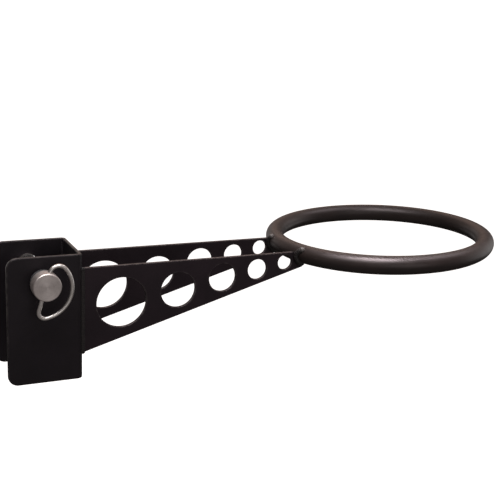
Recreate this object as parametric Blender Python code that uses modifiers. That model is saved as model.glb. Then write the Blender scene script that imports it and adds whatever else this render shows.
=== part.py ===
"""Rack-mounted steel ring: a folded U bracket that wraps a square upright, two tapered
arm plates with lightening holes, a round-tube ring welded between their tips, and a
pull pin with a magnet ring and a wire bail.

Frame: metres, +Z up. The origin is on the inner face of the bracket's web, on the
mid-plane and level with the pin. +X runs out to the ring, the pin pulls out along -Y.
"""

import math

import bmesh
import bpy
from mathutils import Matrix, Vector

# ---------------------------------------------------------------- driving dimensions
# Ring
RING_R = 0.1525          # centreline radius of the ring
TUBE_R = 0.0127          # outer radius of the ring's tube
TUBE_WALL = 0.0022       # wall of the ring's tube
RING_X = 0.4593          # ring centre from the web's inner face
RING_Z = 0.0142          # ring centre above the pin's axis
RING_PITCH = math.radians(2.1)   # the ring's free end is raised, turning about its centre
VENT_R = 0.0025          # vent hole under the tube
RING_SEGS = 64
TUBE_SEGS = 12
BORE_SEGS = 8

# Bracket
PLATE = 0.005            # bracket plate thickness
OUT_HALF = 0.0455        # half width over the two cheeks
BEND_R = 0.0075          # outer bend radius between a cheek and the web
CHEEK_X = -0.0895        # free edge of the cheeks
BRACKET_TOP = 0.031
BRACKET_BOTTOM = -0.1325
CHEEK_CORNER_R = 0.013   # rounded free corners of the cheeks
WEB_CORNER_R = 0.002
PIN_X = -0.046           # pin axis behind the web's inner face
PIN_HOLE_R = 0.0127      # 25.4 mm holes through both cheeks

# Arms
ARM_PLATE = 0.005
ARM_OUT = 0.0435         # outer face of an arm from the mid-plane
ARM_TOP = 0.0125
ARM_TIP_X = 0.3125       # end of the tongue below the tube
ARM_BOTTOM_AT_0 = -0.1002  # height of the lower edge's line at x = 0
ARM_BOTTOM_SLOPE = 0.292
ARM_HOLES = (            # x, z, radius of the lightening holes, web to ring
    (0.0556, -0.0366, 0.0329),
    (0.1318, -0.0268, 0.0237),
    (0.1939, -0.0151, 0.0191),
    (0.2445, -0.0079, 0.0139),
    (0.2853, -0.0010, 0.0103),
)
HOLE_SEGS = 32

# Welds
GAP = 0.0003             # clearance between touching pieces
WEB_BEAD_R = 0.0034
INNER_BEAD_R = 0.0045
RING_BEAD_R = 0.0034

# Pin
SHANK_R = 0.01225
SHANK_TIP = 0.0560       # y of the tip, past the far cheek
SHANK_CHAMFER = 0.0030
SPIGOT_R = 0.0062
SPIGOT_END = -0.0680
KNOB_R = 0.0174
KNOB_LEN = 0.0175
KNOB_CHAMFER = 0.0012
MAGNET_R = 0.0155
MAGNET_LEN = 0.0105
BORE_GAP = 0.0003

# Bail
WIRE_R = 0.0026
BAIL_TILT = math.radians(16.3)   # lean of the bail's hinge line from vertical, top towards the ring
BAIL_ARC_R = 0.0376              # the loop's long side
BAIL_ARC_U = -0.0050
BAIL_ARC_V = -0.0042
BAIL_TOP_R = 0.0110              # bend between the long side and the upper leg
BAIL_LOW_R = 0.0080              # bend between the long side and the lower leg
BAIL_STUB = 0.0098               # where a leg ends inside the knob


# ---------------------------------------------------------------- scene and helpers
for old in list(bpy.data.objects):
    bpy.data.objects.remove(old, do_unlink=True)

PARTS = bpy.data.collections.new("rack_ring")
CUTTERS = bpy.data.collections.new("cutters")
bpy.context.scene.collection.children.link(PARTS)
bpy.context.scene.collection.children.link(CUTTERS)


def material(name, colour, roughness, metallic):
    mat = bpy.data.materials.new(name)
    mat.use_nodes = True
    shader = next(n for n in mat.node_tree.nodes if n.type == "BSDF_PRINCIPLED")
    shader.inputs["Base Color"].default_value = (*colour, 1.0)
    shader.inputs["Roughness"].default_value = roughness
    shader.inputs["Metallic"].default_value = metallic
    mat.diffuse_color = (*colour, 1.0)
    return mat


def add(name, mesh, mat=None, location=(0, 0, 0), rotation=(0, 0, 0), where=None):
    obj = bpy.data.objects.new(name, mesh)
    obj.location = location
    obj.rotation_euler = rotation
    (where or PARTS).objects.link(obj)
    if mat is not None:
        obj.data.materials.clear()
        obj.data.materials.append(mat)
    return obj


def as_cutter(obj):
    obj.hide_render = True
    obj.display_type = "WIRE"
    return obj


def meshed(curve, name):
    """A mesh made from a curve object, with its loose caps welded; the curve is removed."""
    bpy.context.view_layer.update()
    deps = bpy.context.evaluated_depsgraph_get()
    mesh = bpy.data.meshes.new_from_object(curve.evaluated_get(deps))
    mesh.name = name
    data = curve.data
    bpy.data.objects.remove(curve, do_unlink=True)
    bpy.data.curves.remove(data)
    bm = bmesh.new()
    bm.from_mesh(mesh)
    bmesh.ops.remove_doubles(bm, verts=bm.verts, dist=1e-6)
    bmesh.ops.recalc_face_normals(bm, faces=bm.faces)
    bm.to_mesh(mesh)
    bm.free()
    return mesh


def outline_mesh(name, loops, thickness):
    """Flat plate in local XY from closed outlines (the first is outside, the rest are holes)."""
    curve = bpy.data.curves.new(name, "CURVE")
    curve.dimensions = "2D"
    curve.fill_mode = "BOTH"
    curve.extrude = thickness / 2
    for loop in loops:
        spline = curve.splines.new("POLY")
        spline.points.add(len(loop) - 1)
        for point, (x, y) in zip(spline.points, loop):
            point.co = (x, y, 0, 1)
        spline.use_cyclic_u = True
    obj = bpy.data.objects.new(name, curve)
    PARTS.objects.link(obj)
    return meshed(obj, name)


def wire_mesh(name, points, radius, resolution):
    curve = bpy.data.curves.new(name, "CURVE")
    curve.dimensions = "3D"
    curve.bevel_depth = radius
    curve.bevel_resolution = resolution
    curve.use_fill_caps = True
    spline = curve.splines.new("POLY")
    spline.points.add(len(points) - 1)
    for point, co in zip(spline.points, points):
        point.co = (*co, 1)
    obj = bpy.data.objects.new(name, curve)
    PARTS.objects.link(obj)
    return meshed(obj, name)


def arc(cx, cy, r, start, end, steps):
    """Points of an arc, angles in degrees."""
    out = []
    for i in range(steps + 1):
        a = math.radians(start + (end - start) * i / steps)
        out.append((cx + r * math.cos(a), cy + r * math.sin(a)))
    return out


def circle(cx, cy, r, steps):
    return [
        (cx + r * math.cos(2 * math.pi * i / steps), cy + r * math.sin(2 * math.pi * i / steps))
        for i in range(steps)
    ]


def cylinder(name, radius, depth, segments, location, rotation, where):
    bm = bmesh.new()
    bmesh.ops.create_cone(
        bm, cap_ends=True, cap_tris=False, segments=segments, radius1=radius, radius2=radius, depth=depth
    )
    mesh = bpy.data.meshes.new(name)
    bm.to_mesh(mesh)
    bm.free()
    return add(name, mesh, None, location, rotation, where)


def box(name, low, high, where):
    bm = bmesh.new()
    bmesh.ops.create_cube(bm, size=1.0)
    size = [h - l for l, h in zip(low, high)]
    bmesh.ops.scale(bm, vec=size, verts=bm.verts)
    mesh = bpy.data.meshes.new(name)
    bm.to_mesh(mesh)
    bm.free()
    return add(name, mesh, None, [(l + h) / 2 for l, h in zip(low, high)], (0, 0, 0), where)


def ring_point(dx, y, dz):
    """A point given in the ring's own plane, from its centre."""
    c, s = math.cos(RING_PITCH), math.sin(RING_PITCH)
    return (RING_X + dx * c - dz * s, y, RING_Z + dx * s + dz * c)


def torus(name, minor, minor_segments, where):
    bpy.ops.mesh.primitive_torus_add(
        major_segments=RING_SEGS,
        minor_segments=minor_segments,
        major_radius=RING_R,
        minor_radius=minor,
        location=(RING_X, 0, RING_Z),
        rotation=(0, -RING_PITCH, 0),
    )
    obj = bpy.context.active_object
    obj.name = name
    obj.data.name = name
    for coll in list(obj.users_collection):
        coll.objects.unlink(obj)
    where.objects.link(obj)
    return obj


def boolean(obj, cutter, operation="DIFFERENCE"):
    mod = obj.modifiers.new(f"{operation.lower()}_{cutter.name}", "BOOLEAN")
    mod.operation = operation
    mod.solver = "EXACT"
    mod.object = cutter
    return mod


def turned(name, profile, steps, mat, location, rotation):
    """A turned body: the profile (radius, height) runs down its outer side, about local Z."""
    mesh = bpy.data.meshes.new(name)
    bm = bmesh.new()
    verts = [bm.verts.new((r, 0.0, z)) for r, z in profile]
    for a, b in zip(verts, verts[1:]):
        bm.edges.new((a, b))
    bm.to_mesh(mesh)
    bm.free()
    obj = add(name, mesh, mat, location, rotation)
    screw = obj.modifiers.new("turn", "SCREW")
    screw.axis = "Z"
    screw.angle = 2 * math.pi
    screw.steps = steps
    screw.render_steps = steps
    screw.use_merge_vertices = True
    screw.merge_threshold = 1e-5
    screw.use_smooth_shade = True
    return obj


def smooth(obj, degrees=35):
    obj.data.shade_smooth()
    obj.data.set_sharp_from_angle(angle=math.radians(degrees))


BLACK = material("satin_black_powder_coat", (0.020, 0.019, 0.020), 0.42, 0.15)
RING_BLACK = material("ring_black_powder_coat", (0.024, 0.022, 0.021), 0.36, 0.15)
BEAD = material("coated_weld_bead", (0.030, 0.028, 0.028), 0.34, 0.2)
STEEL = material("turned_stainless", (0.62, 0.60, 0.58), 0.30, 1.0)
WIRE = material("drawn_stainless_wire", (0.66, 0.64, 0.61), 0.24, 1.0)
FERRITE = material("ferrite_magnet", (0.035, 0.035, 0.037), 0.55, 0.3)

ON_Y = (math.radians(90), 0, 0)     # local Z to -Y, local Y to +Z


# ---------------------------------------------------------------- cutters
tube_clear = as_cutter(torus("cut_tube_clear", TUBE_R + GAP, TUBE_SEGS, CUTTERS))
tube_bore = as_cutter(torus("cut_tube_bore", TUBE_R - TUBE_WALL, BORE_SEGS, CUTTERS))
vent = as_cutter(
    cylinder(
        "cut_vent", VENT_R, 0.012, 12,
        ring_point(-RING_R, 0, -TUBE_R), (0, -RING_PITCH, 0), CUTTERS,
    )
)
pin_bore = as_cutter(
    cylinder("cut_pin_bore", PIN_HOLE_R, 0.12, HOLE_SEGS, (PIN_X, 0, 0), ON_Y, CUTTERS)
)


# ---------------------------------------------------------------- bracket
# Plan outline of the folded channel: outer side, then back along the inner side.
outer_x = PLATE
bend_c = (outer_x - BEND_R, OUT_HALF - BEND_R)
inner_r = BEND_R - PLATE
plan = [(CHEEK_X, -OUT_HALF)]
plan += arc(bend_c[0], -bend_c[1], BEND_R, -90, 0, 6)
plan += arc(bend_c[0], bend_c[1], BEND_R, 0, 90, 6)
plan += [(CHEEK_X, OUT_HALF), (CHEEK_X, OUT_HALF - PLATE)]
plan += arc(bend_c[0], bend_c[1], inner_r, 90, 0, 4)
plan += arc(bend_c[0], -bend_c[1], inner_r, 0, -90, 4)
plan += [(CHEEK_X, -OUT_HALF + PLATE)]
height = BRACKET_TOP - BRACKET_BOTTOM
bracket = add(
    "upright_bracket",
    outline_mesh("upright_bracket", [plan], height + 0.004),
    BLACK,
    (0, 0, (BRACKET_TOP + BRACKET_BOTTOM) / 2),
)
# Side outline of the blank, which rounds the cheeks' free corners.
r1, r2 = CHEEK_CORNER_R, WEB_CORNER_R
side = []
side += arc(CHEEK_X + r1, BRACKET_BOTTOM + r1, r1, 180, 270, 8)
side += arc(PLATE + 0.0002 - r2, BRACKET_BOTTOM + r2, r2, 270, 360, 3)
side += arc(PLATE + 0.0002 - r2, BRACKET_TOP - r2, r2, 0, 90, 3)
side += arc(CHEEK_X + r1, BRACKET_TOP - r1, r1, 90, 180, 8)
blank = as_cutter(add("cut_blank", outline_mesh("cut_blank", [side], 0.12), None, (0, 0, 0), ON_Y, CUTTERS))
boolean(bracket, blank, "INTERSECT")
boolean(bracket, pin_bore)


# ---------------------------------------------------------------- arms
def arm_loops():
    """Side outline of an arm and its holes, in x and z."""
    x0 = PLATE + GAP
    low = lambda x: ARM_BOTTOM_AT_0 + ARM_BOTTOM_SLOPE * x
    tip_r = 0.0015
    outline = [(x0, ARM_TOP), (x0, low(x0))]
    outline += [(ARM_TIP_X - 2 * tip_r, low(ARM_TIP_X - 2 * tip_r))]
    outline += arc(ARM_TIP_X - tip_r, low(ARM_TIP_X - tip_r) + tip_r * 1.05, tip_r, -60, 0, 3)
    outline += [(ARM_TIP_X, ARM_TOP)]
    return [outline] + [circle(x, z, r, HOLE_SEGS) for x, z, r in ARM_HOLES]


ARM_MID = ARM_OUT - ARM_PLATE / 2
arms = {}
for side_name, sign in (("near", -1), ("far", 1)):
    arm = add(
        f"{side_name}_arm",
        outline_mesh(f"{side_name}_arm", arm_loops(), ARM_PLATE),
        BLACK,
        (0, sign * ARM_MID, 0),
        ON_Y,
    )
    boolean(arm, tube_clear)
    arms[side_name] = arm


# ---------------------------------------------------------------- ring
ring = torus("ring_tube", TUBE_R, TUBE_SEGS, PARTS)
ring.data.materials.clear()
ring.data.materials.append(RING_BLACK)
smooth(ring, 60)
boolean(ring, tube_bore)
boolean(ring, vent)


# ---------------------------------------------------------------- weld beads
bend_clear = {
    sign: as_cutter(
        cylinder(
            f"cut_bend_{'far' if sign > 0 else 'near'}", BEND_R + GAP, 0.2, 48,
            (bend_c[0], sign * bend_c[1], -0.05), (0, 0, 0), CUTTERS,
        )
    )
    for sign in (-1, 1)
}
for side_name, sign in (("near", -1), ("far", 1)):
    low_z = ARM_BOTTOM_AT_0 + ARM_BOTTOM_SLOPE * PLATE + 0.0015
    high_z = ARM_TOP - 0.0010
    span = high_z - low_z
    mid_z = (high_z + low_z) / 2
    web_clear = as_cutter(
        box(
            f"cut_web_{side_name}",
            (-0.05, min(sign * 0.030, sign * 0.050), -0.2),
            (PLATE + GAP, max(sign * 0.030, sign * 0.050), 0.1),
            CUTTERS,
        )
    )
    arm_clear = as_cutter(
        box(
            f"cut_arm_{side_name}",
            (PLATE, min(sign * (ARM_OUT - ARM_PLATE - GAP), sign * (ARM_OUT + GAP)), -0.2),
            (0.05, max(sign * (ARM_OUT - ARM_PLATE - GAP), sign * (ARM_OUT + GAP)), 0.1),
            CUTTERS,
        )
    )
    # Outer bead: fills the corner between the arm's outer face and the bracket's bend.
    bead = cylinder(
        f"{side_name}_web_weld_outer", WEB_BEAD_R, span, 16,
        (PLATE + 0.0010, sign * (ARM_OUT + 0.0006), mid_z), (0, 0, 0), PARTS,
    )
    bead.data.materials.append(BEAD)
    boolean(bead, bend_clear[sign])
    boolean(bead, arm_clear)
    # Inner bead: in the corner between the web and the arm's inner face.
    bead = cylinder(
        f"{side_name}_web_weld_inner", INNER_BEAD_R, span, 16,
        (PLATE + GAP, sign * (ARM_OUT - ARM_PLATE - GAP), mid_z), (0, 0, 0), PARTS,
    )
    bead.data.materials.append(BEAD)
    boolean(bead, web_clear)
    boolean(bead, arm_clear)

    # Beads round the cope, on both faces of the arm.
    for face, y in (("outer", ARM_OUT), ("inner", ARM_OUT - ARM_PLATE)):
        centre_dx = -math.sqrt(RING_R**2 - y**2)
        stretch = RING_R / math.sqrt(RING_R**2 - y**2)
        path = []
        for i in range(13):
            a = math.radians(156 + (264 - 156) * i / 12)
            path.append(
                ring_point(centre_dx + TUBE_R * stretch * math.cos(a), sign * y, TUBE_R * math.sin(a))
            )
        bead = add(
            f"{side_name}_ring_weld_{face}",
            wire_mesh(f"{side_name}_ring_weld_{face}", path, RING_BEAD_R, 2),
            BEAD,
        )
        boolean(bead, tube_clear)
        if face == "outer":
            edge = (0.0, ARM_OUT + GAP)
        else:
            edge = (ARM_OUT - ARM_PLATE - GAP, 0.1)
        ys = sorted((sign * edge[0], sign * edge[1]))
        plate_clear = as_cutter(
            box(f"cut_plate_{side_name}_{face}", (0.27, ys[0], -0.05), (0.36, ys[1], 0.05), CUTTERS)
        )
        boolean(bead, plate_clear)


# ---------------------------------------------------------------- pin
magnet_back = OUT_HALF + GAP
magnet_front = magnet_back + MAGNET_LEN
knob_back = magnet_front + GAP
knob_front = knob_back + KNOB_LEN
pin_frame = bpy.data.objects.new("pin_axis", None)
pin_frame.location = (PIN_X, 0, 0)
pin_frame.rotation_euler = ON_Y        # local Z is the pull direction, -Y
PARTS.objects.link(pin_frame)

shank = turned(
    "pin_shank",
    [
        (0.0, -SPIGOT_END),
        (SPIGOT_R - 0.0006, -SPIGOT_END),
        (SPIGOT_R, -SPIGOT_END - 0.0006),
        (SPIGOT_R, OUT_HALF),
        (SHANK_R, OUT_HALF),
        (SHANK_R, -SHANK_TIP + SHANK_CHAMFER),
        (SHANK_R - SHANK_CHAMFER, -SHANK_TIP),
        (0.0, -SHANK_TIP),
    ],
    32, STEEL, (0, 0, 0), (0, 0, 0),
)
shank.parent = pin_frame

bore_r = SPIGOT_R + BORE_GAP
knob = turned(
    "pin_knob",
    [
        (0.0, knob_front),
        (KNOB_R - KNOB_CHAMFER, knob_front),
        (KNOB_R, knob_front - KNOB_CHAMFER),
        (KNOB_R, knob_back + 0.0006),
        (KNOB_R - 0.0006, knob_back),
        (bore_r, knob_back),
        (bore_r, -SPIGOT_END + BORE_GAP),
        (0.0, -SPIGOT_END + BORE_GAP),
    ],
    40, STEEL, (0, 0, 0), (0, 0, 0),
)
knob.parent = pin_frame

magnet = turned(
    "magnet_ring",
    [
        (bore_r, magnet_front),
        (MAGNET_R - 0.0005, magnet_front),
        (MAGNET_R, magnet_front - 0.0005),
        (MAGNET_R, magnet_back + 0.0005),
        (MAGNET_R - 0.0005, magnet_back),
        (bore_r, magnet_back),
        (bore_r, magnet_front),
    ],
    32, FERRITE, (0, 0, 0), (0, 0, 0),
)
magnet.parent = pin_frame

# Hinge line of the bail: across the knob at mid length, leaning from vertical.
HINGE_Y = -(knob_back + knob_front) / 2
bail_frame = bpy.data.objects.new("bail_axis", None)
bail_frame.location = (PIN_X, HINGE_Y, 0)
bail_frame.rotation_euler = (0, BAIL_TILT, 0)   # local Z is the hinge line, local X the loop's reach
PARTS.objects.link(bail_frame)

for label, sign in (("up", 1), ("down", -1)):
    # Blind hole for a leg of the bail, from the knob's side inwards.
    mid = sign * 0.0145
    hole = as_cutter(
        cylinder(f"cut_bail_{label}", WIRE_R + GAP, 0.011, 16, (0, 0, mid), (0, 0, 0), CUTTERS)
    )
    hole.parent = bail_frame
    boolean(knob, hole)


def bail_path():
    """Centreline of the bail in (reach, height) about its hinge line."""
    pts = []

    def corner(r, sign):
        # Centre of a bend that is tangent to the leg and, inside, to the long arc.
        rise = r - BAIL_ARC_V
        along = math.sqrt((BAIL_ARC_R - r) ** 2 - rise**2)
        return BAIL_ARC_U + sign * along

    top = corner(BAIL_TOP_R, 1)
    low = corner(BAIL_LOW_R, -1)
    # Upper leg, from inside the knob.
    pts.append((0.0, BAIL_STUB))
    pts.append((0.0, (BAIL_STUB + top) / 2))
    # Upper bend: from the leg (at reach 0) round to the long arc.
    a_end = math.degrees(math.atan2(BAIL_TOP_R - BAIL_ARC_V, top - BAIL_ARC_U))
    for i in range(9):
        a = math.radians(-90 + (a_end + 90) * i / 8)
        pts.append((BAIL_TOP_R + BAIL_TOP_R * math.sin(a), top + BAIL_TOP_R * math.cos(a)))
    # Long side.
    b_end = math.degrees(math.atan2(BAIL_LOW_R - BAIL_ARC_V, low - BAIL_ARC_U))
    for i in range(1, 20):
        a = math.radians(a_end + (b_end - a_end) * i / 20)
        pts.append((BAIL_ARC_V + BAIL_ARC_R * math.sin(a), BAIL_ARC_U + BAIL_ARC_R * math.cos(a)))
    # Lower bend and lower leg.
    for i in range(9):
        a = math.radians(b_end + (270 - b_end) * i / 8)
        pts.append((BAIL_LOW_R + BAIL_LOW_R * math.sin(a), low + BAIL_LOW_R * math.cos(a)))
    pts.append((0.0, (low - BAIL_STUB) / 2))
    pts.append((0.0, -BAIL_STUB))
    return pts


bail = add(
    "pull_bail",
    wire_mesh("pull_bail", [(v, 0.0, u) for v, u in bail_path()], WIRE_R, 3),
    WIRE,
)
bail.parent = bail_frame
smooth(bail, 50)
bpy.context.view_layer.update()
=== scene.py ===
import math

import bmesh
import bpy
import numpy as np
from mathutils import Matrix, Vector, geometry


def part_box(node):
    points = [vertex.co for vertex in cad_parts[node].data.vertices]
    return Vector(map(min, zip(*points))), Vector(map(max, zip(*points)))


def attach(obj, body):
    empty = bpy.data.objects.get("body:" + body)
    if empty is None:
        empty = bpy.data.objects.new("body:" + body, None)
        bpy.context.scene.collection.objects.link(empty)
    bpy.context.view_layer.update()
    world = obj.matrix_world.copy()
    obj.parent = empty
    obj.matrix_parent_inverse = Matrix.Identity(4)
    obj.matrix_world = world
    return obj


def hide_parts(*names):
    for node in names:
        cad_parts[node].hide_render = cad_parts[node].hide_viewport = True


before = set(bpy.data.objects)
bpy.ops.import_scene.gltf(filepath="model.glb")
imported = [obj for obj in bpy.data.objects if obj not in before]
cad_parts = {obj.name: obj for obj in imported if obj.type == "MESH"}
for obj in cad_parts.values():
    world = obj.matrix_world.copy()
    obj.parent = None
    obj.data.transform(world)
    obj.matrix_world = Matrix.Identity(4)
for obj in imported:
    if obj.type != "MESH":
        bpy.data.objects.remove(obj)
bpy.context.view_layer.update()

scene = bpy.context.scene

# ------------------------------------------------------------------ sizes, as in the CAD
RING_R, TUBE_R, TUBE_WALL = 0.1525, 0.0127, 0.0022
RING_X, RING_Z = 0.4593, 0.0142
RING_PITCH = math.radians(2.1)
VENT_R = 0.0025
PLATE, OUT_HALF, BEND_R = 0.005, 0.0455, 0.0075
CHEEK_X, TOP, BOTTOM = -0.0895, 0.031, -0.1325
CORNER_R, WEB_CORNER_R = 0.013, 0.0024
PIN_X, PIN_HOLE_R = -0.046, 0.0127
ARM_PLATE, ARM_OUT, ARM_TOP, ARM_TIP_X = 0.005, 0.0435, 0.0125, 0.3125
ARM_LOW_0, ARM_LOW_SLOPE = -0.1002, 0.292
ARM_HOLES = (
    (0.0556, -0.0366, 0.0329),
    (0.1318, -0.0268, 0.0237),
    (0.1939, -0.0151, 0.0191),
    (0.2445, -0.0079, 0.0139),
    (0.2853, -0.0010, 0.0103),
)
GAP = 0.0003
SHANK_R, SHANK_TIP, SHANK_CHAMFER = 0.01225, 0.0560, 0.0030
SPIGOT_R, SPIGOT_END = 0.0062, 0.0680
KNOB_R, KNOB_LEN, KNOB_CHAMFER = 0.0174, 0.0175, 0.0010
MAGNET_R, MAGNET_LEN = 0.0155, 0.0105
WIRE_R, BAIL_TILT = 0.0026, math.radians(16.3)
BAIL_ARC_R, BAIL_ARC_U, BAIL_ARC_V = 0.0376, -0.0050, -0.0042
BAIL_TOP_R, BAIL_LOW_R, BAIL_STUB = 0.0110, 0.0080, 0.0098


def near(a, b, what):
    if abs(a - b) > 0.0003:
        raise RuntimeError(f"{what} is {b:.5f} in the frame and {a:.5f} here")


near(CHEEK_X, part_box("upright_bracket")[0].x, "cheek edge")
near(TOP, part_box("upright_bracket")[1].z, "bracket top")
near(BOTTOM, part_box("upright_bracket")[0].z, "bracket bottom")
near(OUT_HALF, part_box("upright_bracket")[1].y, "bracket half width")
near(RING_X + RING_R * math.cos(RING_PITCH) + TUBE_R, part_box("ring_tube")[1].x, "ring end")
near(RING_Z + RING_R * math.sin(RING_PITCH) + TUBE_R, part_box("ring_tube")[1].z, "ring top")
near(ARM_TIP_X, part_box("near_arm")[1].x, "arm tip")
near(ARM_TOP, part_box("near_arm")[1].z, "arm top")
near(SHANK_TIP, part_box("pin_shank")[1].y, "pin tip")
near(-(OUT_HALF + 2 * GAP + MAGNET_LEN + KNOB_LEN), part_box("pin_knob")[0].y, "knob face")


# ------------------------------------------------------------------ materials
def nodes_of(name):
    mat = bpy.data.materials.new(name)
    mat.use_nodes = True
    tree = mat.node_tree
    shader = next(n for n in tree.nodes if n.type == "BSDF_PRINCIPLED")
    return mat, tree, shader


def link(tree, a, b):
    tree.links.new(a, b)


def noise(tree, coords, scale, detail=2.0, rough=0.5, distortion=0.0):
    n = tree.nodes.new("ShaderNodeTexNoise")
    n.inputs["Scale"].default_value = scale
    n.inputs["Detail"].default_value = detail
    n.inputs["Roughness"].default_value = rough
    n.inputs["Distortion"].default_value = distortion
    link(tree, coords, n.inputs["Vector"])
    return n.outputs["Fac"]


def spread(tree, value, low, high, to_low, to_high, smooth=False):
    n = tree.nodes.new("ShaderNodeMapRange")
    n.interpolation_type = "SMOOTHSTEP" if smooth else "LINEAR"
    n.clamp = True
    for key, v in zip(("From Min", "From Max", "To Min", "To Max"), (low, high, to_low, to_high)):
        n.inputs[key].default_value = v
    link(tree, value, n.inputs["Value"])
    return n.outputs["Result"]


def maths(tree, kind, a, b=None, clamp=False):
    n = tree.nodes.new("ShaderNodeMath")
    n.operation = kind
    n.use_clamp = clamp
    for i, v in enumerate((a, b)):
        if v is None:
            continue
        if isinstance(v, (int, float)):
            n.inputs[i].default_value = v
        else:
            link(tree, v, n.inputs[i])
    return n.outputs[0]


def blend_colour(tree, factor, a, b):
    n = tree.nodes.new("ShaderNodeMix")
    n.data_type = "RGBA"
    link(tree, factor, n.inputs["Factor"])
    for key, v in (("A", a), ("B", b)):
        socket = [s for s in n.inputs if s.name == key and s.type == "RGBA"][0]
        if isinstance(v, tuple):
            socket.default_value = (*v, 1.0)
        else:
            link(tree, v, socket)
    return [s for s in n.outputs if s.type == "RGBA"][0]


def bump(tree, height, strength, distance, normal=None):
    n = tree.nodes.new("ShaderNodeBump")
    n.inputs["Strength"].default_value = strength
    n.inputs["Distance"].default_value = distance
    link(tree, height, n.inputs["Height"])
    if normal is not None:
        link(tree, normal, n.inputs["Normal"])
    return n.outputs["Normal"]


def object_coords(tree):
    return tree.nodes.new("ShaderNodeTexCoord").outputs["Object"]


def scaled(tree, coords, factors, offset=(0, 0, 0)):
    n = tree.nodes.new("ShaderNodeMapping")
    n.inputs["Scale"].default_value = factors
    n.inputs["Location"].default_value = offset
    link(tree, coords, n.inputs["Vector"])
    return n.outputs["Vector"]


def powder_coat(name, dark, light, wear_and_highlight, rough, specular, tint, peel=1.0, dust_and_top_light=0.35, attribute=True):
    """Satin black powder coat: orange peel, faint clouding, rubbed edges, a lighter film on top that is dust and
    painted top light.
    """
    mat, t, s = nodes_of(name)
    c = object_coords(t)
    clouds = spread(t, noise(t, c, 16, 4, 0.55, 0.4), 0.32, 0.70, 0, 1, True)
    colour = blend_colour(t, clouds, dark, light)
    # Fine pepper of overspray and lint.
    grit = spread(t, noise(t, c, 2300, 1, 0.5), 0.70, 0.76, 0, 0.30)
    colour = blend_colour(t, grit, colour, wear_and_highlight)
    # Dust lies on what faces up, in patches.
    # A lighter film, in patches, on what faces up: dust, and painted light on the tops.
    geo = t.nodes.new("ShaderNodeNewGeometry")
    parts = t.nodes.new("ShaderNodeSeparateXYZ")
    link(t, geo.outputs["Normal"], parts.inputs[0])
    up = spread(t, parts.outputs["Z"], 0.55, 0.98, 0, 1, True)
    dust_and_top_light_film = maths(t, "MULTIPLY", up, spread(t, noise(t, c, 90, 5, 0.6), 0.30, 0.72, 0.25 * dust_and_top_light, dust_and_top_light))
    colour = blend_colour(t, dust_and_top_light_film, colour, (0.036, 0.032, 0.029))
    rubs = None
    if attribute:
        edge = t.nodes.new("ShaderNodeAttribute")
        edge.attribute_name = "edge"
        patch = spread(t, noise(t, c, 120, 5, 0.62, 0.6), 0.40, 0.66, 0.12, 1.0, True)
        rubs = maths(t, "MULTIPLY", maths(t, "POWER", edge.outputs["Fac"], 2.2), patch, True)
        colour = blend_colour(t, maths(t, "MULTIPLY", rubs, 0.75), colour, wear_and_highlight)
    link(t, colour, s.inputs["Base Color"])
    rough_field = maths(
        t, "ADD",
        spread(t, noise(t, c, 42, 4, 0.6), 0.30, 0.72, rough - 0.045, rough + 0.055),
        maths(t, "MULTIPLY", dust_and_top_light_film, 0.22),
    )
    if rubs is not None:
        rough_field = maths(t, "SUBTRACT", rough_field, maths(t, "MULTIPLY", rubs, 0.08))
    link(t, rough_field, s.inputs["Roughness"])
    s.inputs["Specular IOR Level"].default_value = specular
    s.inputs["Specular Tint"].default_value = (*tint, 1.0)
    n1 = bump(t, noise(t, c, 520, 2, 0.5), 0.16 * peel, 0.00045)
    n2 = bump(t, noise(t, c, 1900, 2, 0.55), 0.10 * peel, 0.00012, n1)
    link(t, n2, s.inputs["Normal"])
    return mat


def weld_coat(name, base, light, rough, specular):
    """The same coat where it has run over a bead: glossier, with spatter under it."""
    mat, t, s = nodes_of(name)
    c = object_coords(t)
    tone = spread(t, noise(t, c, 240, 4, 0.6, 0.5), 0.34, 0.68, 0, 1, True)
    colour = blend_colour(t, tone, base, light)
    edge = t.nodes.new("ShaderNodeAttribute")
    edge.attribute_name = "edge"
    # Lighter coat where the bead is marked: rubbed thin on the crests, and a painted highlight on the seen ends.
    rubbed_and_highlight = maths(t, "MULTIPLY", edge.outputs["Fac"], spread(t, noise(t, c, 600, 3, 0.6), 0.35, 0.6, 0.55, 1.0), True)
    colour = blend_colour(t, rubbed_and_highlight, colour, (0.150, 0.136, 0.131))
    link(t, colour, s.inputs["Base Color"])
    link(t, spread(t, noise(t, c, 300, 3, 0.6), 0.30, 0.72, rough - 0.06, rough + 0.08), s.inputs["Roughness"])
    s.inputs["Specular IOR Level"].default_value = specular
    n1 = bump(t, noise(t, c, 700, 3, 0.6), 0.18, 0.00035)
    n2 = bump(t, noise(t, c, 2600, 2, 0.5), 0.10, 0.00010, n1)
    link(t, n2, s.inputs["Normal"])
    return mat


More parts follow.
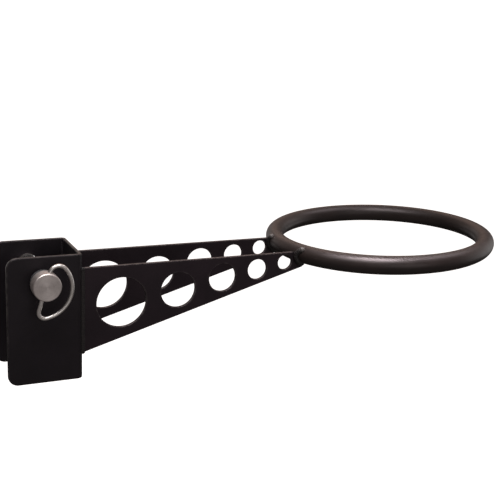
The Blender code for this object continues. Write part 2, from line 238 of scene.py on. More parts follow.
def turned_steel(name, dark, light, rough, axis_x, pitch=0.00042, depth=0.00002):
    """Stainless turned about a line along Y at x = axis_x: fine rings on faces, fine lines round the side."""
    mat, t, s = nodes_of(name)
    c = object_coords(t)
    moved = t.nodes.new("ShaderNodeVectorMath")
    moved.operation = "SUBTRACT"
    moved.inputs[1].default_value = (axis_x, 0, 0)
    link(t, c, moved.inputs[0])
    parts = t.nodes.new("ShaderNodeSeparateXYZ")
    link(t, moved.outputs[0], parts.inputs[0])
    radius = maths(
        t, "SQRT",
        maths(t, "ADD", maths(t, "MULTIPLY", parts.outputs["X"], parts.outputs["X"]),
              maths(t, "MULTIPLY", parts.outputs["Z"], parts.outputs["Z"])),
    )
    track = maths(t, "ADD", radius, maths(t, "MULTIPLY", parts.outputs["Y"], 1.0))
    lines = t.nodes.new("ShaderNodeTexNoise")
    lines.noise_dimensions = "1D"
    lines.inputs["Scale"].default_value = 1.0
    lines.inputs["Detail"].default_value = 3.0
    link(t, maths(t, "MULTIPLY", track, 1.0 / pitch), lines.inputs["W"])
    broad = t.nodes.new("ShaderNodeTexNoise")
    broad.noise_dimensions = "1D"
    broad.inputs["Scale"].default_value = 1.0
    broad.inputs["Detail"].default_value = 2.0
    link(t, maths(t, "MULTIPLY", track, 520.0), broad.inputs["W"])
    handled = spread(t, noise(t, c, 190, 5, 0.62, 0.5), 0.36, 0.68, 0, 1, True)
    tone = maths(t, "MULTIPLY", spread(t, broad.outputs["Fac"], 0.3, 0.7, 0.25, 1.0), handled)
    link(t, blend_colour(t, tone, light, dark), s.inputs["Base Color"])
    link(t, spread(t, lines.outputs["Fac"], 0.30, 0.70, rough - 0.05, rough + 0.07), s.inputs["Roughness"])
    s.inputs["Metallic"].default_value = 1.0
    s.inputs["Anisotropic"].default_value = 0.32
    s.inputs["Anisotropic Rotation"].default_value = 0.25
    tangent = t.nodes.new("ShaderNodeTangent")
    tangent.direction_type = "RADIAL"
    tangent.axis = "Y"
    link(t, tangent.outputs["Tangent"], s.inputs["Tangent"])
    n1 = bump(t, lines.outputs["Fac"], 0.30, depth)
    n2 = bump(t, noise(t, c, 900, 3, 0.6), 0.03, 0.00015, n1)
    link(t, n2, s.inputs["Normal"])
    return mat, s, t


def wire_steel(name, dark, light, rough):
    """Drawn wire: faint lines along it, and dull patches from handling."""
    mat, t, s = nodes_of(name)
    c = object_coords(t)
    around = t.nodes.new("ShaderNodeAttribute")
    around.attribute_name = "around"
    along = t.nodes.new("ShaderNodeAttribute")
    along.attribute_name = "along"
    v = t.nodes.new("ShaderNodeCombineXYZ")
    link(t, maths(t, "MULTIPLY", along.outputs["Fac"], 90.0), v.inputs["X"])
    link(t, maths(t, "MULTIPLY", around.outputs["Fac"], 38.0), v.inputs["Y"])
    draw = noise(t, v.outputs[0], 1.0, 3, 0.6)
    patches = spread(t, noise(t, c, 260, 4, 0.6, 0.4), 0.36, 0.68, 0, 1, True)
    link(t, blend_colour(t, patches, light, dark), s.inputs["Base Color"])
    link(
        t,
        maths(t, "ADD", spread(t, draw, 0.3, 0.7, rough - 0.04, rough + 0.05), maths(t, "MULTIPLY", patches, 0.05)),
        s.inputs["Roughness"],
    )
    s.inputs["Metallic"].default_value = 1.0
    n1 = bump(t, draw, 0.03, 0.00002)
    n2 = bump(t, noise(t, c, 1500, 2, 0.5), 0.01, 0.00004, n1)
    link(t, n2, s.inputs["Normal"])
    return mat


def ferrite(name):
    mat, t, s = nodes_of(name)
    c = object_coords(t)
    tone = spread(t, noise(t, c, 420, 5, 0.65), 0.34, 0.68, 0, 1, True)
    colour = blend_colour(t, tone, (0.016, 0.016, 0.018), (0.034, 0.033, 0.035))
    edge = t.nodes.new("ShaderNodeAttribute")
    edge.attribute_name = "edge"
    chips = maths(t, "MULTIPLY", edge.outputs["Fac"], spread(t, noise(t, c, 900, 3, 0.6), 0.52, 0.62, 0, 1))
    link(t, blend_colour(t, chips, colour, (0.10, 0.10, 0.105)), s.inputs["Base Color"])
    link(t, spread(t, noise(t, c, 600, 3, 0.6), 0.3, 0.7, 0.50, 0.68), s.inputs["Roughness"])
    s.inputs["Specular IOR Level"].default_value = 0.6
    link(t, bump(t, noise(t, c, 1500, 4, 0.6), 0.35, 0.0001), s.inputs["Normal"])
    return mat


BRACKET_COAT = powder_coat(
    "bracket_powder_coat", (0.0040, 0.0033, 0.0041), (0.0072, 0.0056, 0.0072), (0.042, 0.038, 0.037), 0.43, 0.32,
    (1.0, 0.90, 0.99), dust_and_top_light=0.08,
)
ARM_COAT = powder_coat(
    "arm_powder_coat", (0.0060, 0.0040, 0.0053), (0.0100, 0.0064, 0.0086), (0.060, 0.053, 0.052), 0.43, 0.34,
    (1.0, 0.84, 0.94),
)
RING_COAT = powder_coat(
    "ring_powder_coat", (0.0092, 0.0064, 0.0058), (0.0145, 0.0100, 0.0088), (0.060, 0.052, 0.048), 0.41, 0.50,
    (1.0, 0.90, 0.93), peel=0.8, dust_and_top_light=0.30, attribute=False,
)
WELD_COAT = weld_coat("coat_over_weld", (0.0056, 0.0043, 0.0050), (0.0100, 0.0078, 0.0082), 0.38, 0.42)
KNOB_STEEL, knob_shader, knob_tree = turned_steel(
    "turned_stainless", (0.48, 0.438, 0.426), (0.58, 0.532, 0.520), 0.48, PIN_X
)
SHANK_STEEL, shank_shader, shank_tree = turned_steel(
    "ground_stainless", (0.55, 0.53, 0.52), (0.68, 0.665, 0.65), 0.24, PIN_X, 0.0003, 0.000014
)
WIRE_STEEL = wire_steel("drawn_stainless_wire", (0.62, 0.59, 0.57), (0.78, 0.755, 0.74), 0.30)
FERRITE = ferrite("sintered_ferrite")


# ------------------------------------------------------------------ mesh helpers
def finish_mesh(name, verts, faces, normals=None, attributes=None, material=None):
    """A new object from points and faces, smooth, with its own normals and float attributes."""
    mesh = bpy.data.meshes.new(name)
    mesh.from_pydata([tuple(map(float, v)) for v in verts], [], [tuple(int(i) for i in f) for f in faces])
    mesh.validate(clean_customdata=False)
    mesh.update()
    for key, values in (attributes or {}).items():
        layer = mesh.attributes.new(key, "FLOAT", "POINT")
        layer.data.foreach_set("value", np.asarray(values, np.float32))
    mesh.shade_smooth()
    if normals is not None:
        mesh.normals_split_custom_set_from_vertices([tuple(map(float, n)) for n in normals])
    obj = bpy.data.objects.new(name, mesh)
    scene.collection.objects.link(obj)
    if material is not None:
        mesh.materials.append(material)
    return obj


def bake_modifiers(obj):
    bpy.context.view_layer.update()
    deps = bpy.context.evaluated_depsgraph_get()
    mesh = bpy.data.meshes.new_from_object(obj.evaluated_get(deps))
    mesh.name = obj.data.name
    old = obj.data
    obj.modifiers.clear()
    obj.data = mesh
    bpy.data.meshes.remove(old)
    return obj


def cut(obj, cutters, solver="EXACT"):
    for cutter in cutters:
        mod = obj.modifiers.new("cut", "BOOLEAN")
        mod.operation = "DIFFERENCE"
        mod.solver = solver
        mod.object = cutter
    bake_modifiers(obj)
    for cutter in cutters:
        data = cutter.data
        bpy.data.objects.remove(cutter, do_unlink=True)
        bpy.data.meshes.remove(data)
    return obj


def soften(obj, degrees=30):
    """Smooth with crisp edges, and flat faces kept flat."""
    obj.data.shade_smooth()
    obj.data.set_sharp_from_angle(angle=math.radians(degrees))
    mod = obj.modifiers.new("flat_faces", "WEIGHTED_NORMAL")
    mod.keep_sharp = True
    mod.weight = 60
    return bake_modifiers(obj)


def circle_loop(x, z, r, steps, clockwise=True):
    a = np.linspace(0, 2 * math.pi, steps, endpoint=False)
    if clockwise:
        a = -a
    return np.stack([x + r * np.cos(a), z + r * np.sin(a)], 1)


def arc_loop(x, z, r, start, end, steps):
    a = np.radians(np.linspace(start, end, steps + 1))
    return np.stack([x + r * np.cos(a), z + r * np.sin(a)], 1)


def refine(points, length, closed=True):
    """Splits long straight runs of an outline."""
    out = []
    n = len(points)
    for i in range(n if closed else n - 1):
        a, b = points[i], points[(i + 1) % n]
        k = max(1, int(math.ceil(np.linalg.norm(b - a) / length - 1e-9)))
        for j in range(k):
            out.append(a + (b - a) * j / k)
    if not closed:
        out.append(points[-1])
    return np.array(out)


def inside(points, loop):
    x, y = points[:, 0], points[:, 1]
    hit = np.zeros(len(points), bool)
    n = len(loop)
    for i in range(n):
        (x1, y1), (x2, y2) = loop[i], loop[(i + 1) % n]
        if y1 == y2:
            continue
        crosses = ((y1 > y) != (y2 > y)) & (x < (x2 - x1) * (y - y1) / (y2 - y1) + x1)
        hit ^= crosses
    return hit


def boundary_distance(points, loops):
    best = np.full(len(points), 1e9)
    for loop in loops:
        a = loop
        b = np.roll(loop, -1, 0)
        d = b - a
        length2 = (d * d).sum(1)
        for i in range(len(loop)):
            u = np.clip(((points - a[i]) @ d[i]) / max(length2[i], 1e-18), 0, 1)
            q = a[i] + u[:, None] * d[i]
            best = np.minimum(best, np.hypot(*(points - q).T))
    return best


def offset_frame(loop):
    """Unit directions into the material (left of travel) with their mitre lengths."""
    prev, nxt = np.roll(loop, 1, 0), np.roll(loop, -1, 0)
    d1, d2 = loop - prev, nxt - loop
    d1 /= np.linalg.norm(d1, axis=1)[:, None]
    d2 /= np.linalg.norm(d2, axis=1)[:, None]
    n1 = np.stack([-d1[:, 1], d1[:, 0]], 1)
    n2 = np.stack([-d2[:, 1], d2[:, 0]], 1)
    m = n1 + n2
    m /= np.linalg.norm(m, axis=1)[:, None]
    reach = 1.0 / np.maximum((m * n1).sum(1), 0.5)
    return m, reach


def plate(name, loops, thickness, rim, cell, place, material, extra=None, steps=3, fade=0.0026, belts=0, auto=False):
    """A flat plate with rounded rims. loops are in the plate's own plane, the outside anticlockwise and holes clockwise.
    place(points, heights, directions) gives world points and world directions. Each vertex knows how near a rim it is."""
    verts2, heights, dirs, edge = [], [], [], []
    faces = []
    top_ids, bottom_ids, cap_loops = [], [], []
    half = thickness / 2
    for loop in loops:
        m, reach = offset_frame(loop)
        rings = []
        alphas = np.linspace(90, 0, steps + 1)
        flat = half - rim
        rows = [(-flat, -a) for a in alphas]
        rows += [(-flat + 2 * flat * (k + 1) / (belts + 1), 0.0) for k in range(belts)]
        rows += [(flat, a) for a in alphas[::-1]]
        for level, a in rows:
            a = math.radians(a)
            sign = -1.0 if a < 0 else 1.0
            a = abs(a)
            inset = rim * (1 - math.cos(a))
            h = level + sign * rim * math.sin(a)
            start = len(verts2)
            pts = loop + m * (reach * inset)[:, None]
            for p, mm in zip(pts, m):
                verts2.append(p)
                heights.append(h)
                dirs.append((-mm[0] * math.cos(a), -mm[1] * math.cos(a), sign * math.sin(a)))
                edge.append(1.0)
            rings.append(list(range(start, start + len(loop))))
        n = len(loop)
        for lo, hi in zip(rings, rings[1:]):
            for i in range(n):
                j = (i + 1) % n
                faces.append((lo[i], lo[j], hi[j], hi[i]))
        bottom_ids.append(rings[0])
        top_ids.append(rings[-1])
        cap_loops.append(np.array([verts2[i] for i in rings[-1]]))
    # Points inside the caps: one row close to each rim, then a grid.
    low, high = cap_loops[0].min(0), cap_loops[0].max(0)
    rows = []
    for loop in loops:
        m, reach = offset_frame(loop)
        for inset in (rim + 0.0009, rim + 0.0022):
            rows.append(loop + m * (np.minimum(reach, 1.5) * inset)[:, None])
    near_rows = np.concatenate(rows)
    if extra is not None:
        xs = np.array(sorted(set(np.round(np.concatenate([np.arange(low[0], high[0], cell), extra]), 7))))
    else:
        xs = np.arange(low[0] + cell / 2, high[0], cell)
    ys = np.arange(low[1] + cell / 2, high[1], cell)
    grid = np.stack(np.meshgrid(xs, ys, indexing="ij"), -1).reshape(-1, 2)

    def within(points, margin):
        ok = inside(points, cap_loops[0])
        for hole in cap_loops[1:]:
            ok &= ~inside(points, hole)
        points = points[ok]
        d = boundary_distance(points, cap_loops)
        return points[d > margin]

    keep_rows = within(near_rows, 0.0006)
    keep_grid = within(grid, 0.0022 + cell * 0.35 if extra is None else 0.0016)
    inner = np.concatenate([keep_rows, keep_grid])
    _, unique = np.unique(np.round(inner / 0.0002).astype(int), axis=0, return_index=True)
    inner = inner[np.sort(unique)]
    coords = [Vector(p) for loop in cap_loops for p in loop]
    borders = []
    start = 0
    for loop in cap_loops:
        n = len(loop)
        borders += [(start + i, start + (i + 1) % n) for i in range(n)]
        start += n
    border_count = start
    coords += [Vector(p) for p in inner]
    out_co, _, out_faces, orig, _, _ = geometry.delaunay_2d_cdt(coords, borders, [], 0, 1e-7)
    out = np.array([tuple(p) for p in out_co])
    centres = np.array([out[list(f)].mean(0) for f in out_faces])
    ok = inside(centres, cap_loops[0])
    for hole in cap_loops[1:]:
        ok &= ~inside(centres, hole)
    distance = boundary_distance(inner, loops)
    glow = np.clip(1 - distance / fade, 0, 1)
    for side, ids in ((1, top_ids), (-1, bottom_ids)):
        flat = [i for loop in ids for i in loop]
        base = len(verts2)
        for p, g in zip(inner, glow):
            verts2.append(p)
            heights.append(side * half)
            dirs.append((0.0, 0.0, float(side)))
            edge.append(float(g))
        mapping = {}
        for k, sources in enumerate(orig):
            if not sources:
                raise RuntimeError("a cap gained a point")
            s0 = min(sources)
            mapping[k] = flat[s0] if s0 < border_count else base + s0 - border_count
        for f, good in zip(out_faces, ok):
            if good:
                f = [mapping[i] for i in f]
                faces.append(tuple(f if side > 0 else f[::-1]))
    pts, nrm = place(np.array(verts2), np.array(heights), np.array(dirs))
    obj = finish_mesh(name, pts, faces, None, {"edge": edge}, material)
    # Points outwards, whichever way the placing turned the plate.
    bm = bmesh.new()
    bm.from_mesh(obj.data)
    volume = bm.calc_volume(signed=True)
    if volume < 0:
        bmesh.ops.reverse_faces(bm, faces=bm.faces)
        bm.to_mesh(obj.data)
    bm.free()
    if auto:
        return soften(obj, 42)
    obj.data.normals_split_custom_set_from_vertices([tuple(map(float, n)) for n in nrm])
    return obj


def lathe(name, profile, steps, axis_x, material, edge=None):
    """Turns (radius, y) about the line x = axis_x, z = 0. A profile that starts and ends on the axis is closed there."""
    verts, faces, marks = [], [], []
    rings = []
    for k, (r, y) in enumerate(profile):
        e = edge[k] if edge else 0.0
        if r < 1e-7:
            rings.append([len(verts)])
            verts.append((axis_x, y, 0.0))
            marks.append(e)
        else:
            ids = []
            for i in range(steps):
                a = 2 * math.pi * i / steps
                ids.append(len(verts))
                verts.append((axis_x + r * math.cos(a), y, r * math.sin(a)))
                marks.append(e)
            rings.append(ids)
    pairs = list(zip(rings, rings[1:]))
    if profile[0][0] > 1e-7:
        pairs.append((rings[-1], rings[0]))
    for a, b in pairs:
        for i in range(steps):
            j = (i + 1) % steps
            if len(a) == 1 and len(b) == 1:
                continue
            if len(a) == 1:
                faces.append((a[0], b[j], b[i]))
            elif len(b) == 1:
                faces.append((a[i], a[j], b[0]))
            else:
                faces.append((a[i], a[j], b[j], b[i]))
    obj = finish_mesh(name, verts, faces, None, {"edge": marks}, material)
    bm = bmesh.new()
    bm.from_mesh(obj.data)
    bmesh.ops.recalc_face_normals(bm, faces=bm.faces)
    bm.to_mesh(obj.data)
    bm.free()
    return obj


def round_corner(points, index, radius, steps=4):
    """Replaces one corner of an open profile with an arc."""
    p0, p1, p2 = (np.array(points[i], float) for i in (index - 1, index, index + 1))
    a, b = p0 - p1, p2 - p1
    a /= np.linalg.norm(a)
    b /= np.linalg.norm(b)
    half = math.acos(max(-1, min(1, float(a @ b)))) / 2
    reach = radius / math.tan(half)
    mid = (a + b) / np.linalg.norm(a + b)
    centre = p1 + mid * radius / math.sin(half)
    s, e = p1 + a * reach - centre, p1 + b * reach - centre
    out = []
    for i in range(steps + 1):
        v = s * (1 - i / steps) + e * (i / steps)
        out.append(tuple(centre + v / np.linalg.norm(v) * radius))
    return list(points[:index]) + out + list(points[index + 1:])


def softened_profile(points, corners, steps=4):
    """Rounds the listed corners {index: radius}, from the last to the first so that the indices hold."""
    for index in sorted(corners, reverse=True):
        points = round_corner(points, index, corners[index], steps)
    return points


def tube(name, path, radii, sides, material, squash=(1.0, 1.0, 1.0)):
    """A swept round body along path, with a radius at each point."""
    path = np.array(path, float)
    n = len(path)
    tangent = np.gradient(path, axis=0)
    tangent /= np.linalg.norm(tangent, axis=1)[:, None]
    normal = np.array([0.0, 1.0, 0.0])
    if abs(tangent[0] @ normal) > 0.9:
        normal = np.array([1.0, 0.0, 0.0])
    verts, faces, along, around = [], [], [], []
    length = 0.0
    for k in range(n):
        if k:
            length += np.linalg.norm(path[k] - path[k - 1])
        normal = normal - (normal @ tangent[k]) * tangent[k]
        normal /= np.linalg.norm(normal)
        side = np.cross(tangent[k], normal)
        for i in range(sides):
            a = 2 * math.pi * i / sides
            verts.append(path[k] + radii[k] * (math.cos(a) * normal + math.sin(a) * side) * np.array(squash))
            along.append(length * 100)
            around.append(abs(a - math.pi) / math.pi)
    for k in range(n - 1):
        for i in range(sides):
            j = (i + 1) % sides
            faces.append((k * sides + i, k * sides + j, (k + 1) * sides + j, (k + 1) * sides + i))
    for k, order in ((0, -1), (n - 1, 1)):
        verts.append(path[k])
        along.append(along[k * sides])
        around.append(0.0)
        for i in range(sides):
            j = (i + 1) % sides
            a, b = k * sides + i, k * sides + j
            faces.append((a, b, len(verts) - 1) if order > 0 else (b, a, len(verts) - 1))
    obj = finish_mesh(name, verts, faces, None, {"along": along, "around": around}, material)
    bm = bmesh.new()
    bm.from_mesh(obj.data)
    bmesh.ops.recalc_face_normals(bm, faces=bm.faces)
    bm.to_mesh(obj.data)
    bm.free()
    return obj


def wobble(x, seed):
    """Smooth repeatable noise in one dimension, from -1 to 1."""
    total = 0.0
    for k, (f, w) in enumerate(((1.0, 0.5), (2.17, 0.3), (4.61, 0.2))):
        total += w * math.sin(x * f + seed * (1.7 + k * 2.3) + 1.3 * math.sin(x * f * 0.53 + seed))
    return total


def bead(name, path, radius, pitch, seed, swell=0.0, foot=0.0, wear_and_highlight=0.0, rub=0.25, squash=(1.0, 1.0, 1.0), sides=20):
    """A weld bead: a row of overlapping puddles along path, rounded at both ends. swell fattens its first end and
    foot its last; the first end can get a painted highlight as a lighter coat, and rub thins the coat on the crests."""
    path = np.array(path, float)
    seg = np.linalg.norm(np.diff(path, axis=0), axis=1)
    at = np.concatenate([[0], np.cumsum(seg)])
    total = at[-1]
    count = max(24, int(total / (pitch / 9)))
    s = np.linspace(0, total, count)
    # Closer rows at the two round ends.
    cap = np.array([0.0, 0.04, 0.12, 0.25, 0.42, 0.65, 0.85]) * radius
    s = np.unique(np.round(np.concatenate([cap, s[(s > radius) & (s < total - radius)], total - cap[::-1]]), 7))
    pts = np.stack([np.interp(s, at, path[:, i]) for i in range(3)], 1)
    radii, marks = [], []
    for x in s:
        phase = x / pitch + 0.22 * wobble(x / pitch * 0.9, seed)
        frac = phase - math.floor(phase)
        crest = (1 - frac) ** 0.55 if frac > 0.12 else (frac / 0.12) * (0.88**0.55)
        r = radius * (0.91 + 0.09 * crest + 0.03 * wobble(x / pitch * 1.7, seed + 3))
        r *= 1 + swell * math.exp(-((x / (radius * 1.3)) ** 2)) + foot * math.exp(-(((total - x) / (radius * 1.3)) ** 2))
        end = min(x, total - x)
        if end < radius:
            r *= math.sqrt(max(0.0, 1 - (1 - end / radius) ** 2)) * 0.98 + 0.02
        radii.append(r)
        # Marks: a painted highlight at the first end, rubbed coat on the crests.
        marks.append(rub * max(0.0, crest - 0.55) + wear_and_highlight * math.exp(-((x / (radius * 1.1)) ** 2)))
    # A little sideways wander, as of a hand.
    drift = np.array([[0.00012 * wobble(x / pitch * 0.8, seed + 7), 0.0, 0.00010 * wobble(x / pitch, seed + 11)] for x in s])
    obj = tube(name, pts + drift, radii, sides, WELD_COAT, squash)
    values = []
    for m in marks:
        values += [m] * sides
    values += [marks[0], marks[-1]]
    layer = obj.data.attributes.new("edge", "FLOAT", "POINT")
    layer.data.foreach_set("value", np.asarray(values, np.float32))
    return obj


# ------------------------------------------------------------------ bracket
BEND_ARC = (BEND_R - PLATE / 2) * math.pi / 2
FLAT_WEB = OUT_HALF - BEND_R                     # half the web's flat width
FLAT_CHEEK = (PLATE - BEND_R) - CHEEK_X          # length of a cheek's flat
HALF_LONG = FLAT_WEB + BEND_ARC + FLAT_CHEEK     # half of the developed blank


def fold(points, heights, dirs):
    """Folds the flat blank: s runs from the near cheek's free edge, round the web, to the far one's. Height is out from the mid-plane."""
    s, z = points[:, 0], points[:, 1]
    side = np.where(s < 0, -1.0, 1.0)
    a = np.abs(s)
    theta = np.clip((a - FLAT_WEB) / BEND_ARC, 0, 1) * math.pi / 2
    r = BEND_R - PLATE / 2 + heights
    cx, cy = PLATE - BEND_R, FLAT_WEB
    x = np.where(a <= FLAT_WEB, PLATE - PLATE / 2 + heights, cx + r * np.cos(theta))
    y = np.where(a <= FLAT_WEB, a, cy + r * np.sin(theta))
    past = np.maximum(a - FLAT_WEB - BEND_ARC, 0)
    x = x - past
    # The web's outer corners are rounded off at top and bottom.
    u = np.clip(x - (PLATE - WEB_CORNER_R), 0, WEB_CORNER_R)
    drop = WEB_CORNER_R - np.sqrt(WEB_CORNER_R**2 - u**2)
    to_top, to_bottom = np.clip((TOP - z) / 0.007, 0, 1), np.clip((z - BOTTOM) / 0.007, 0, 1)
    z = z - drop * (1 - to_top) ** 2 * (1 + 2 * to_top) + drop * (1 - to_bottom) ** 2 * (1 + 2 * to_bottom)
    # Directions: along s, along z, out of the sheet.
    ds, dz, dh = dirs[:, 0] * side, dirs[:, 1], dirs[:, 2]
    along = np.stack([-np.sin(theta), np.cos(theta)], 1)
    outward = np.stack([np.cos(theta), np.sin(theta)], 1)
    v = along * ds[:, None] + outward * dh[:, None]
    return (
        np.stack([x, y * side, z], 1),
        np.stack([v[:, 0], v[:, 1] * side, dz], 1),
    )


corner = CORNER_R
outline = np.concatenate([
    arc_loop(-HALF_LONG + corner, BOTTOM + corner, corner, 180, 270, 14),
    arc_loop(HALF_LONG - corner, BOTTOM + corner, corner, 270, 360, 14),
    arc_loop(HALF_LONG - corner, TOP - corner, corner, 0, 90, 14),
    arc_loop(-HALF_LONG + corner, TOP - corner, corner, 90, 180, 14),
])


def with_stops(points, stops, length):
    """Splits an outline at given s stops as well as by length, so that it can be folded there."""
    out = []
    n = len(points)
    for i in range(n):
        a, b = points[i], points[(i + 1) % n]
        cuts = {0.0}
        k = max(1, int(math.ceil(np.linalg.norm(b - a) / length - 1e-9)))
        cuts |= {j / k for j in range(k)}
        if abs(b[0] - a[0]) > 0.02:
            keep = {(q - a[0]) / (b[0] - a[0]) for q in stops}
            keep = {u for u in keep if 1e-4 < u < 1 - 1e-4}
            span = abs(b[0] - a[0])
            cuts = {u for u in cuts if all(abs(u - v) * span > 0.0011 for v in keep)} | keep | {0.0}
        for u in sorted(cuts):
            out.append(a + (b - a) * u)
    return np.array(out)


bend_stops = np.concatenate([
    sign * np.linspace(FLAT_WEB - 0.0004, FLAT_WEB + BEND_ARC + 0.0004, 15) for sign in (-1, 1)
])
pin_s = FLAT_WEB + BEND_ARC + ((PLATE - BEND_R) - PIN_X)
outline = with_stops(outline, bend_stops, 0.004)
bracket = plate(
    "bracket_shell",
    [outline, circle_loop(-pin_s, 0, PIN_HOLE_R, 64), circle_loop(pin_s, 0, PIN_HOLE_R, 64)],
    PLATE, 0.0010, 0.0042, fold, BRACKET_COAT, extra=bend_stops, belts=5, auto=True,
)
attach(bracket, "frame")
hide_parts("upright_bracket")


# ------------------------------------------------------------------ arms
def arm_low(x):
    return ARM_LOW_0 + ARM_LOW_SLOPE * x


def ring_point(dx, y, dz):
    """A point given in the ring's own plane, from its centre."""
    c, sn = math.cos(RING_PITCH), math.sin(RING_PITCH)
    return (RING_X + dx * c - dz * sn, y, RING_Z + dx * sn + dz * c)


x0 = PLATE + GAP
tip_r = 0.0015
cope_r = TUBE_R + GAP
cope_x, _, cope_z = ring_point(-math.sqrt(RING_R**2 - (ARM_OUT - ARM_PLATE / 2) ** 2), 0, 0)
cope_stretch = RING_R / math.sqrt(RING_R**2 - ARM_OUT**2)
start_angle = 180 + math.degrees(math.asin((cope_z - ARM_TOP) / cope_r))
cope_end = math.degrees(math.acos(max(-1, min(1, (ARM_TIP_X - cope_x) / (cope_r * cope_stretch)))))
cope = np.array([
    (cope_x + cope_r * cope_stretch * math.cos(a), cope_z + cope_r * math.sin(a))
    for a in np.radians(np.linspace(-cope_end, start_angle - 360, 26))
])
arm_outline = np.concatenate([
    np.array([(x0, ARM_TOP), (x0, arm_low(x0))]),
    np.array([(ARM_TIP_X - 2 * tip_r, arm_low(ARM_TIP_X - 2 * tip_r))]),
    arc_loop(ARM_TIP_X - tip_r, arm_low(ARM_TIP_X - tip_r) + tip_r * 1.05, tip_r, -60, 0, 5),
    cope,
])
arm_outline = refine(arm_outline, 0.0045)


def arm_place(sign):
    middle = sign * (ARM_OUT - ARM_PLATE / 2)

    def place(points, heights, dirs):
        # The cope follows the ring's curve through the plate's thickness.
        y = np.abs(middle + sign * heights)
        lean = math.sqrt(RING_R**2 - middle**2) - np.sqrt(RING_R**2 - y**2)
        part = np.clip((points[:, 0] - 0.2965) / 0.0030, 0, 1)
        below = np.clip((0.0 - points[:, 1]) / 0.004, 0, 1)
        return (
            np.stack([points[:, 0] + lean * part * (1 - below), middle + sign * heights, points[:, 1]], 1),
            np.stack([dirs[:, 0], sign * dirs[:, 2], dirs[:, 1]], 1),
        )

    return place


for label, sign in (("near", -1), ("far", 1)):
    holes = [circle_loop(x, z, r, max(48, int(r * 3200))) for x, z, r in ARM_HOLES]
    arm = plate(
        f"arm_plate_{label}", [arm_outline, *holes], ARM_PLATE, 0.0006, 0.0045, arm_place(sign), ARM_COAT
    )
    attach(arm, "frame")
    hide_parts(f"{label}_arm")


# ------------------------------------------------------------------ ring
def torus(name, minor, major_steps, minor_steps, material=None):
    verts, faces = [], []
    for i in range(major_steps):
        a = 2 * math.pi * i / major_steps
        for j in range(minor_steps):
            b = 2 * math.pi * j / minor_steps
            r = RING_R + minor * math.cos(b)
            verts.append(ring_point(r * math.cos(a), r * math.sin(a), minor * math.sin(b)))
            k, l = (i + 1) % major_steps, (j + 1) % minor_steps
            faces.append((i * minor_steps + j, k * minor_steps + j, k * minor_steps + l, i * minor_steps + l))
    obj = finish_mesh(name, verts, faces, None, None, material)
    bm = bmesh.new()
    bm.from_mesh(obj.data)
    bmesh.ops.recalc_face_normals(bm, faces=bm.faces)
    bm.to_mesh(obj.data)
    bm.free()
    return obj


def rod(name, radius, steps, start, end):
    """A plain cylinder between two points, for cutting."""
    start, end = Vector(start), Vector(end)
    bm = bmesh.new()
    bmesh.ops.create_cone(
        bm, cap_ends=True, segments=steps, radius1=radius, radius2=radius, depth=(end - start).length
    )
    turn = (end - start).to_track_quat("Z", "Y").to_matrix().to_4x4()
    bmesh.ops.transform(bm, matrix=Matrix.Translation((start + end) / 2) @ turn, verts=bm.verts)
    mesh = bpy.data.meshes.new(name)
    bm.to_mesh(mesh)
    bm.free()
    obj = bpy.data.objects.new(name, mesh)
    scene.collection.objects.link(obj)
    return obj


ring = torus("ring_smooth", TUBE_R, 288, 48, RING_COAT)
bore = torus("cut_bore", TUBE_R - TUBE_WALL, 96, 16)
vent = rod(
    "cut_vent", VENT_R, 32, ring_point(-RING_R, 0, -TUBE_R - 0.004), ring_point(-RING_R, 0, -TUBE_R + 0.006)
)
cut(ring, [bore, vent])
ring.data.shade_smooth()
ring.data.set_sharp_from_angle(angle=math.radians(40))
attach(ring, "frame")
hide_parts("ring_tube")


# ------------------------------------------------------------------ weld beads
low_z = arm_low(PLATE) - 0.0016
high_z = ARM_TOP + 0.0010
seed = 1
for label, sign in (("near", -1), ("far", 1)):
    outer = bead(
        f"bead_web_outer_{label}",
        [(PLATE - 0.0001, sign * (ARM_OUT - 0.0002), z) for z in np.linspace(high_z, low_z, 60)],
        0.0028, 0.0024, seed, swell=0.05, foot=0.10, rub=0.05, squash=(1.0, 0.50, 1.0),
    )
    inner = bead(
        f"bead_web_inner_{label}",
        [(PLATE + GAP, sign * (ARM_OUT - ARM_PLATE - GAP), z) for z in np.linspace(ARM_TOP - 0.0005, low_z + 0.003, 60)],
        0.0040, 0.0027, seed + 5, swell=0.08,
    )
    made = [("web_weld_outer", outer), ("web_weld_inner", inner)]
    for face, y, side in (("outer", ARM_OUT, 1), ("inner", ARM_OUT - ARM_PLATE, -1)):
        stretch = RING_R / math.sqrt(RING_R**2 - y**2)
        # The two beads that look at the photo's camera run a little past the corner, and their ends there get a painted
        # highlight.
        seen = (label, face) in (("near", "outer"), ("far", "inner"))
        path = []
        # The far inner bead ends in a drop that hangs below the tongue.
        drop = (label, face) == ("far", "inner")
        for a in np.linspace(127 if seen else 164, 284 if drop else 266, 70):
            reach_out = TUBE_R + (0.0024 * max(0.0, (a - 235) / 49) if drop else 0.0)
            out = side * (0.0022 + (0.0090 * max(0.0, (195 - a) / 68) ** 2 if seen else 0.0))
            dx = -math.sqrt(RING_R**2 - (y + out) ** 2)
            c, d = math.cos(math.radians(a)), math.sin(math.radians(a))
            path.append(ring_point(dx + reach_out * stretch * c, sign * (y + out), reach_out * d))
        ring_bead = bead(
            f"bead_ring_{face}_{label}", path, 0.0040, 0.0027, seed + (9 if face == "outer" else 13),
            swell=0.10 if seen else 0.0, foot=0.40 if drop else 0.05, wear_and_highlight=0.7 if seen else 0.0, rub=0.12,
        )
        made.append((f"ring_weld_{face}", ring_bead))
    for node, obj in made:
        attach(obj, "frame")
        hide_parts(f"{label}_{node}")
    seed += 20


# ------------------------------------------------------------------ pin
magnet_back = -(OUT_HALF + GAP)
magnet_front = magnet_back - MAGNET_LEN
knob_back = magnet_front - GAP
knob_front = knob_back - KNOB_LEN
HINGE_Y = (knob_back + knob_front) / 2
bore_r = SPIGOT_R + GAP

